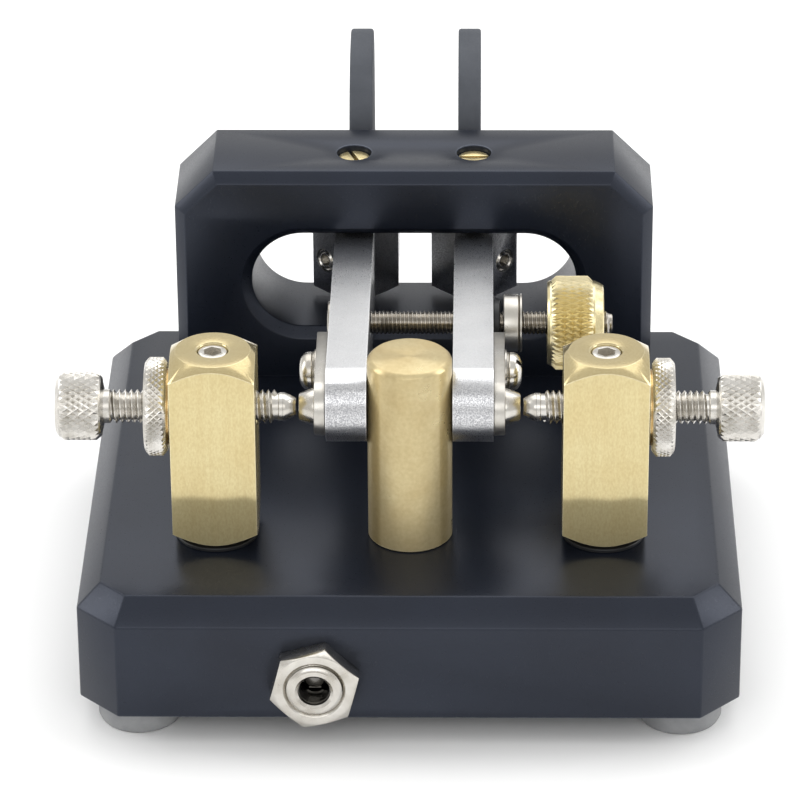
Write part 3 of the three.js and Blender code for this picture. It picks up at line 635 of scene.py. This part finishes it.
NYLON = moulded_black()
STEEL = machined_steel()
post_low = BASE_H + WASHER_T
drop = (POST_CONE_R - POST_END_R) * math.tan(math.radians(POST_CONE_DEGREES))
for hand, sign in (("left", -1), ("right", 1)):
    to_post = at(sign * POST_X, POST_Y, 0)
    bar = cuboid(-POST_HALF, POST_HALF, -POST_HALF, POST_HALF, post_low - 1, POST_TOP + 1)
    ends = spun([(0, post_low), (POST_END_R, post_low), (POST_CONE_R, post_low + drop),
                 (POST_CONE_R, POST_TOP - drop), (POST_END_R, POST_TOP), (0, POST_TOP)], 160)
    bar = carved(bar, ends, "INTERSECT")
    bar = carved(bar, moved(rod(M4_BORE, -9, 9), along_x(), at(0, 0, AXIS_Z)))
    bar = carved(bar, spun([(0, AXIS_Z + 1), (1.82, AXIS_Z + 1), (1.82, POST_TOP - 0.15),
                            (2.05, POST_TOP + 0.05), (2.05, POST_TOP + 1), (0, POST_TOP + 1)]))
    moved(eased(bar, 0.1), to_post)
    place(bar, f"post_bar_{hand}", drawn_brass(f"drawn_brass_{hand}", row_point(sign * POST_X, POST_Y, 0)),
          "base", "brass", f"contact_post_{hand}")
    disc = spun([(2.2, BASE_H + 0.02), (4.9, BASE_H + 0.02), (5, BASE_H + 0.12), (5, post_low - 0.1),
                 (4.9, post_low - 0.01), (2.2, post_low - 0.01), (2.2, BASE_H + 0.02)])
    place(moved(disc, to_post), f"post_disc_{hand}", NYLON, "base", "insulator", f"post_washer_{hand}")
    top = POST_TOP - 0.15
    grub = spun([(0, AXIS_Z + 2.15), (1.2, AXIS_Z + 2.15), (1.74, AXIS_Z + 2.7), (1.74, top - 0.25),
                 (1.66, top - 0.07), (1.5, top), (0, top)], 64)
    grub = eased(carved(grub, prism(hexagon(2.0, sign * 0.4), top - 2, top + 1)), 0.07, 40)
    place(moved(grub, to_post), f"post_set_screw_{hand}", NICKEL, "base", "steel", f"post_grub_{hand}")

# --- Contact screws and locknuts --------------------------------------------------------
# M4 screws with diamond-knurled heads, nickel plated; each is locked against its post by a
# thin knurled nut whose washer face is coloured brass as a painted reflection of the post with painted shade,
# and ends in a smooth cone for the lever's contact.
M4_PITCH, THREAD_LOW, THREAD_HIGH = 0.7, 15.5, 35.15
HEAD_R, HEAD_LOW, HEAD_HIGH = 4.0, 36.2, 41.2
LOCKNUT_R, LOCKNUT_LOW, LOCKNUT_HIGH = 5.8, 28.55, 30.95


def knurled(radius, low, high, around, along, depth):
    """Diamond knurling about Z: every other point of a grid is raised, and each quad folds
    along its long diagonal, which leaves crossing ridges with a pit in each diamond."""
    bm = bmesh.new()
    step = (high - low) / along
    points = [bm.verts.new((radius - depth, 0, low + step * k)) for k in range(along + 1)]
    lines = [bm.edges.new(pair) for pair in zip(points, points[1:])]
    bmesh.ops.spin(bm, geom=points + lines, cent=(0, 0, 0), axis=(0, 0, 1), dvec=(0, 0, 0), angle=2 * math.pi,
                   steps=around, use_merge=True)
    bmesh.ops.remove_doubles(bm, verts=bm.verts, dist=1e-4)
    for v in bm.verts:
        column = round(math.atan2(v.co.y, v.co.x) / (2 * math.pi) * around)
        row = round((v.co.z - low) / step)
        if row in (0, along):
            grow = (radius - 1.7 * depth) / (radius - depth)
        else:
            grow = radius / (radius - depth) if (column + row) % 2 else 1
        v.co.x *= grow
        v.co.y *= grow
    bmesh.ops.triangulate(bm, faces=bm.faces, quad_method="LONG_EDGE")
    return facing_out(bm)


THREADS = plated_nickel("nickel_plated_thread", "#bdb8b0", "#8f8a82", 0.2, 0.32)
KNURLED = plated_nickel("nickel_plated_knurl", "#dedbd6", "#bcb8b0", 0.2, 0.32, 0.2)
for hand, sign in (("left", -1), ("right", 1)):
    to_screw = (along_x(sign), at(0, POST_Y, AXIS_Z))
    head = spun([(0, 35.95), (2.3, 35.95), (3.55, 36.25), (3.68, 36.4), (3.68, 41.1), (3.15, 41.5),
                 (1.6, 41.5), (1.45, 41.35), (0, 41.35)])
    neck = spun([(0, 35.05), (1.8, 35.05), (2.0, 35.25), (2.0, 36.1), (0, 36.1)], 48)
    tail = spun([(0, 14.88), (1.66, 14.88), (1.66, 15.3), (1.56, 15.4), (1.56, 16.3), (0, 16.3)], 48)
    screw = together(thread(M4_R, M4_PITCH, THREAD_LOW, THREAD_HIGH, 32), head, neck, tail,
                     knurled(HEAD_R, HEAD_LOW, HEAD_HIGH, 60, 8, 0.3))
    place(moved(screw, *to_screw), f"contact_screw_knurled_{hand}", KNURLED, f"{hand}_screw", "nickel",
          f"contact_screw_{hand}", smooth=18)
    tip = spun([(0, 13.35), (0.98, 13.35), (1.08, 13.42), (1.62, 14.55), (1.66, 14.7), (1.66, 14.85),
                (0, 14.85)], 64)
    place(moved(tip, *to_screw), f"contact_tip_cone_{hand}", NICKEL, f"{hand}_tip", "nickel",
          f"contact_tip_{hand}")
    # the nut's washer face is coloured a darker brown brass: a painted reflection of the brass post, with
    # painted shade
    washer = spun([(2.15, 28.03), (4.35, 28.03), (4.5, 28.12), (4.5, 28.5), (2.15, 28.5), (2.15, 28.03)])
    brass = turned_brass(f"painted_reflection_washer_{hand}", row_point(0, POST_Y, AXIS_Z), 0, "#c9a66a", "#a98348",
                         metal=0.9, brush=0.2)
    place(moved(washer, *to_screw), f"locknut_washer_{hand}", brass, f"{hand}_nut", "brass",
          f"locknut_{hand}")
    ring = spun([(2.1, 28.45), (5.2, 28.45), (5.55, 28.75), (5.55, 30.75), (5.2, 31.05), (2.5, 31.05),
                 (2.1, 30.75), (2.1, 28.45)])
    locknut = together(ring, knurled(LOCKNUT_R, LOCKNUT_LOW, LOCKNUT_HIGH, 96, 6, 0.26))
    place(moved(locknut, *to_screw), f"locknut_knurled_{hand}", KNURLED, f"{hand}_nut", "nickel",
          f"locknut_{hand}", smooth=18)

# --- Levers -----------------------------------------------------------------------------
# Milled aluminium arms with rounded noses, bead-blasted. Behind the pivots each flares at
# 45 degrees into a slotted block that grips its finger plate.
ARM_IN, ARM_OUT, BLOCK_IN, BLOCK_OUT = 5.05, 9.85, 2.1, 12.95
FLARE_Y, BLOCK_Y1, BLOCK_Z0 = 31.75, 44.0, 22.3
NOSE_Y, NOSE_Z, NOSE_R, BEAM_Y = -17.3, 32.1, 4.65, 24.0
CLAMP_Z = 26.7
PLATE_IN, PLATE_T, TONGUE_Y = 5.45, 2.9, 33.0
PLATE_Y0, PLATE_Y1, PLATE_Z0, PLATE_Z1 = 37.0, 55.4, 17.4, 49.7
PLATE_FRONT_R, PLATE_R, TONGUE_EASE = 12.0, 6.0, 0.6
ROD_Y, ROD_Z = 3.5, 31.75
STRIP_SCREW_Y = -9.5
# the side outline is drawn with Y and Z as its two axes and X as its height
SIDE_ON = Matrix(((0, 0, 1, 0), (1, 0, 0, 0), (0, 1, 0, 0), (0, 0, 0, 1)))


def blasted_alloy():
    # aluminium bead-blasted and clear anodised: pale grey with a sparkling grain, finer and
    # brighter on the edges that were broken by a file
    material, tree, shader = new_finish("blasted_aluminium_clear")
    beads = grain(tree, 0.13, 1.0, roughness=0.6)
    cloud = grain(tree, 5.0, 3.0)
    # faces turned toward the jack side get a stronger bump and dark speckles in their colour, painted shade
    # from the dark parts they reflect
    facing = add_node(tree, "ShaderNodeNewGeometry")
    parts = add_node(tree, "ShaderNodeSeparateXYZ", links={0: facing.outputs["Normal"]})
    front_shade_and_bump = add_node(tree, "ShaderNodeMapRange", {"From Min": -0.25, "From Max": -0.75},
                         {"Value": parts.outputs["Y"]})
    painted_front_speckle = add_node(tree, "ShaderNodeMath", {"operation": "MULTIPLY"},
                      {0: spread(tree, beads, 0, 1, 0.4, 0.6), 1: front_shade_and_bump})
    colour = blended(tree, spread(tree, cloud, 0, 0.5), "#dededf", "#cdced0")
    colour = blended(tree, spread(tree, beads, 0, 0.3, 0.35, 0.65), colour, "#b4b5b7")
    # dark speckle on faces toward the jack side: painted shade
    colour = blended(tree, painted_front_speckle, colour, "#a4a4a8")
    edges = worn_edges(tree, 0.3)
    tree.links.new(blended(tree, edges, colour, "#f2f2f2"), shader.inputs["Base Color"])
    shader.inputs["Metallic"].default_value = 1.0
    tree.links.new(spread(tree, beads, 0.26, 0.36, 0.35, 0.65).outputs[0], shader.inputs["Roughness"])
    strength = add_node(tree, "ShaderNodeMapRange", {"To Min": 0.4, "To Max": 0.7}, {"Value": front_shade_and_bump})
    textured(tree, shader, strength, 0.024, beads)
    return material


def grey_plate():
    # finger plates: dark grey moulded sheet with a fine upright saw grain on its edges
    material, tree, shader = new_finish("sheet_plastic_grey")
    saw = grain(tree, 0.3, 3.0, (1, 1, 20))
    mottle = grain(tree, 3.5, 4.0)
    tree.links.new(blended(tree, spread(tree, mottle, 0, 1), "#4a4d53", "#53565c"),
                   shader.inputs["Base Color"])
    shader.inputs["Specular IOR Level"].default_value = 0.22
    tree.links.new(spread(tree, saw, 0.6, 0.78).outputs[0], shader.inputs["Roughness"])
    textured(tree, shader, 0.4, 0.01, saw)
    return material


ALLOY = blasted_alloy()
PLATE = grey_plate()
for hand, sign in (("left", -1), ("right", 1)):
    shift = Matrix.Translation(((sign - 1) / 2 * (ARM_IN + ARM_OUT), 0, 0))
    outline = [(BEAM_Y + 2, BLOCK_Z0), (BEAM_Y + 2, BLOCK_Z1), (BEAM_Y, BLOCK_Z1)]
    outline += [(NOSE_Y + NOSE_R * math.cos(a), NOSE_Z + NOSE_R * math.sin(a)) for a in arc(90, 180, 40)]
    outline += [(BEAM_Y, BLOCK_Z0)]
    beam = moved(prism(outline, ARM_IN, ARM_OUT), SIDE_ON, shift)
    plan = [(ARM_IN, BEAM_Y), (ARM_IN, FLARE_Y - ARM_IN + BLOCK_IN), (BLOCK_IN, FLARE_Y),
            (BLOCK_IN, BLOCK_Y1 - 0.8),
            (BLOCK_IN + 0.8, BLOCK_Y1), (BLOCK_OUT - 0.8, BLOCK_Y1), (BLOCK_OUT, BLOCK_Y1 - 0.8),
            (BLOCK_OUT, FLARE_Y), (ARM_OUT, FLARE_Y - BLOCK_OUT + ARM_OUT), (ARM_OUT, BEAM_Y)]
    arm = carved(beam, prism([(sign * px, py) for px, py in plan], BLOCK_Z0, BLOCK_Z1), "UNION")
    middle = PLATE_IN + PLATE_T / 2
    gap = cuboid(sign * middle - PLATE_T / 2 - 0.03, sign * middle + PLATE_T / 2 + 0.03, TONGUE_Y - 0.3,
                 BLOCK_Y1 + 1, BLOCK_Z0 - 1, BLOCK_Z1 + 1)
    arm = carved(arm, gap)
    face = Vector((sign * (ARM_OUT + BLOCK_OUT) / 2, FLARE_Y - (BLOCK_OUT - ARM_OUT) / 2, CLAMP_Z))
    to_face = (Matrix.Rotation(-math.pi / 2, 4, "X"), Matrix.Rotation(sign * math.pi / 4, 4, "Z"),
               Matrix.Translation(face))
    drilled = moved(rod(2.2 if sign > 0 else 1.75, 3, 12), along_x(sign), at(0, ROD_Y, ROD_Z))
    drilled = together(drilled,
                       moved(rod(1.05, 3, 12), along_x(sign), at(0, STRIP_SCREW_Y, AXIS_Z)),
                       moved(rod(1.25, 7, 12), along_x(sign), at(0, POST_Y, AXIS_Z)),
                       moved(rod(1.55, -3, 4.4, 48), *to_face))
    for z, cone in ((BLOCK_Z1, ((0, -1.1), (0.45, -1.1), (1.75, 0), (1.75, 1), (0, 1))),
                    (BLOCK_Z0, ((0, -1), (1.75, -1), (1.75, 0), (0.45, 1.1), (0, 1.1)))):
        drilled = together(drilled, moved(spun(cone, 48), at(sign * PIVOT_X, PIVOT_Y, z)))
    arm = eased(carved(arm, drilled), 0.28, 28)
    place(arm, f"lever_arm_{hand}", ALLOY, f"{hand}_arm", "blasted_alloy", f"lever_{hand}")

    set_screw = spun([(0, 0.05), (0.95, 0.05), (1.1, 0.3), (1.22, 0.3), (1.34, 0.08), (1.45, 0.2),
                      (1.45, 2.8), (0.8, 3.2), (0, 3.2)], 48)
    set_screw = eased(carved(set_screw, prism(hexagon(1.5), 0, 1.9)), 0.05, 40)
    place(moved(set_screw, *to_face), f"clamp_set_screw_{hand}", KNURLED, f"{hand}_arm", "steel",
          f"clamp_screw_{hand}")

    corner = arc(0, 90, 16)
    edge = [(TONGUE_Y, BLOCK_Z0 + TONGUE_EASE), (PLATE_Y0, BLOCK_Z0 + TONGUE_EASE), (PLATE_Y0, PLATE_Z0 + 2),
            (PLATE_Y0 + 2, PLATE_Z0)]
    y, low, high, big = PLATE_Y1 - PLATE_R, PLATE_Z0 + PLATE_R, PLATE_Z1 - PLATE_R, PLATE_FRONT_R
    edge += [(y + PLATE_R * math.sin(a), low - PLATE_R * math.cos(a)) for a in corner]
    edge += [(y + PLATE_R * math.cos(a), high + PLATE_R * math.sin(a)) for a in corner]
    edge += [(PLATE_Y0 + big - big * math.sin(a), PLATE_Z1 - big + big * math.cos(a)) for a in corner]
    edge += [(PLATE_Y0, BLOCK_Z1 - TONGUE_EASE), (TONGUE_Y, BLOCK_Z1 - TONGUE_EASE)]
    plate_shift = Matrix.Translation(((sign - 1) / 2 * (2 * PLATE_IN + PLATE_T), 0, 0))
    plate = moved(prism(edge, PLATE_IN, PLATE_IN + PLATE_T), SIDE_ON, plate_shift)
    place(eased(plate, 0.35, 60, 3), f"finger_piece_{hand}", PLATE, f"{hand}_arm", "grey_plate",
          f"finger_plate_{hand}")

# --- Lever contacts ---------------------------------------------------------------------
# A plated strip lies on each lever's outer side, held by a pan-head screw over two washers;
# its round end carries the contact rivet that the screw's cone touches.
STRIP_IN, STRIP_OUT, STRIP_R, STRIP_Y1, RIVET_X = 9.9, 11.2, 3.35, -5.7, 13.0
SATIN = plated_nickel("nickel_plated_satin", "#cfccc6", "#b9b5ad", 0.24, 0.38, 0.5)
for hand, sign in (("left", -1), ("right", 1)):
    outline = [(STRIP_Y1, AXIS_Z + STRIP_R)]
    outline += [(POST_Y + STRIP_R * math.cos(a), AXIS_Z + STRIP_R * math.sin(a)) for a in arc(90, 180, 32)]
    outline += [(STRIP_Y1, AXIS_Z - STRIP_R)]
    strip = moved(prism(outline, STRIP_IN, STRIP_OUT), SIDE_ON,
                  Matrix.Translation(((sign - 1) / 2 * (STRIP_IN + STRIP_OUT), 0, 0)))
    place(eased(strip, 0.12), f"contact_leaf_{hand}", SATIN, f"{hand}_arm", "nickel", f"contact_strip_{hand}")
    rivet = spun([(0, STRIP_OUT - 0.3), (2.1, STRIP_OUT - 0.3), (2.2, STRIP_OUT + 0.03),
                  (2.16, STRIP_OUT + 0.22), (1.66, RIVET_X - 0.12), (1.52, RIVET_X), (0, RIVET_X)])
    place(moved(rivet, along_x(sign), at(0, POST_Y, AXIS_Z)), f"contact_button_{hand}", NICKEL,
          f"{hand}_arm", "nickel", f"contact_rivet_{hand}")
    z = STRIP_OUT
    lower = spun([(1.1, z), (2.5, z), (2.6, z + 0.06), (2.6, z + 0.2), (1.1, z + 0.24), (1.1, z)], 48)
    spring = spun([(1.1, z + 0.26), (2.3, z + 0.26), (2.35, z + 0.45), (1.1, z + 0.5), (1.1, z + 0.26)], 48)
    head = spun([(0, z + 0.5), (2.2, z + 0.5), (2.3, z + 0.62), (2.3, z + 1.0), (2.15, z + 1.45),
                 (1.75, z + 1.82), (1.1, z + 2.03), (0, z + 2.06)], 64)
    slot_cut = moved(cuboid(-3, 3, -0.28, 0.28, z + 1.35, z + 3), Matrix.Rotation(0.5, 4, "Z"))
    head = carved(head, slot_cut)
    place(moved(together(lower, spring, head), along_x(sign), at(0, STRIP_SCREW_Y, AXIS_Z)),
          f"leaf_screw_{hand}", NICKEL, f"{hand}_arm", "nickel", f"strip_screw_{hand}")

# --- Tension rod, bush, collar and knob ---------------------------------------------------
# An M3 screw through both arms draws them together against the stop; the brass knob sets how
# hard the resilient black bush on the right arm is squeezed.
ROD_R, M3_PITCH, ROD_END = 1.42, 0.5, 24.3
KNOB_R, KNOB_LOW, KNOB_HIGH, KNOB_RELIEF = 5.72, 16.5, 22.3, 0.55
to_rod = (along_x(), at(0, ROD_Y, ROD_Z))
x0 = -ARM_OUT - 0.4
disc = spun([(0, x0), (2.3, x0), (2.55, x0 + 0.12), (2.6, x0 + 0.25), (2.6, -ARM_OUT - 0.02),
             (0, -ARM_OUT - 0.02)], 64)
end_cap = spun([(0, ROD_END - 0.6), (1.3, ROD_END - 0.6), (1.05, ROD_END), (0, ROD_END)], 48)
screw = together(thread(ROD_R, M3_PITCH, -ARM_OUT - 0.1, ROD_END - 0.1, 28, 0.48), disc, end_cap)
place(moved(screw, *to_rod), "tension_screw", THREADS, "left_arm", "nickel", "tension_rod", smooth=18)
bush = spun([(1.75, 6.4), (2.12, 6.4), (2.12, ARM_OUT + 0.03), (2.55, ARM_OUT + 0.03), (2.7, ARM_OUT + 0.15),
             (2.7, 10.56), (2.55, 10.68), (1.75, 10.68), (1.75, 6.4)], 64)
place(moved(bush, *to_rod), "tension_sleeve", NYLON, "right_arm", "insulator", "tension_bush")
collar = spun([(1.55, 11.08), (3.3, 11.08), (3.5, 11.2), (3.5, 12.84), (3.36, 12.95), (3.2, 13.0),
               (3.36, 13.06), (3.55, 13.12), (3.55, 13.3), (3.45, 13.35), (1.55, 13.35), (1.55, 11.08)])
place(moved(collar, *to_rod), "tension_ring", SATIN, "collar", "nickel", "tension_collar")
r = KNOB_R
core = spun([(1.55, 16.4), (r - 0.75, 16.4), (r - KNOB_RELIEF, 16.7), (r - KNOB_RELIEF, 22.15),
             (r - 1.0, 23.05), (r - 1.2, 23.2), (1.9, 23.2), (1.55, 22.9), (1.55, 16.4)])
knob = together(core, knurled(r, KNOB_LOW, KNOB_HIGH, 96, 6, KNOB_RELIEF))
place(moved(knob, *to_rod), "tension_knob_knurled",
      turned_brass("turned_brass_knob", row_point(0, ROD_Y, ROD_Z), 0, "#f3e6ba", "#e4d6a8", 0.18, 0.28, 0.25,
                   0.3, 0.92, 0.0),
      "knob", "brass", "tension_knob", smooth=18)

# --- Under the base ---------------------------------------------------------------------
# Screws, solder tags, insulating bushes, wires and the socket's body keep their CAD solids
# and take their real finishes.


def wire_sleeve(name, colour, shade):
    # PVC insulation on stranded wire: a soft gloss with slight handling marks
    material, tree, shader = new_finish(name)
    marks = grain(tree, 1.5, 4.0)
    tree.links.new(blended(tree, spread(tree, marks, 0, 1), colour, shade), shader.inputs["Base Color"])
    tree.links.new(spread(tree, marks, 0.3, 0.45).outputs[0], shader.inputs["Roughness"])
    return material


TINNED = plated_nickel("tinned_copper", "#c9c9c4", "#9fa09c", 0.3, 0.5)
KEPT = {
    "stop_post_screw": STEEL, "upright_screw_left": STEEL, "upright_screw_right": STEEL,
    "post_screw_left": STEEL, "post_screw_right": STEEL,
    "pivot_screw_lower_left": turned_brass("turned_brass_lower", row_point(0, PIVOT_Y, 0), 2),
    "ground_tag": TINNED, "post_tag_left": TINNED, "post_tag_right": TINNED,
    "jack_lug_tip": TINNED, "jack_lug_ring": TINNED, "jack_lug_sleeve": TINNED,
    "jack_body": NYLON, "post_bush_left": NYLON, "post_bush_right": NYLON,
    "wire_left": wire_sleeve("pvc_wire_red", "#a8302a", "#7f231f"),
    "wire_right": wire_sleeve("pvc_wire_white", "#d9d8d2", "#b9b8b1"),
    "wire_ground": wire_sleeve("pvc_wire_black", "#232326", "#17171a"),
}
KEPT["pivot_screw_lower_right"] = KEPT["pivot_screw_lower_left"]
for node, material in KEPT.items():
    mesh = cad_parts[node].data
    mesh.materials.clear()
    mesh.materials.append(material)
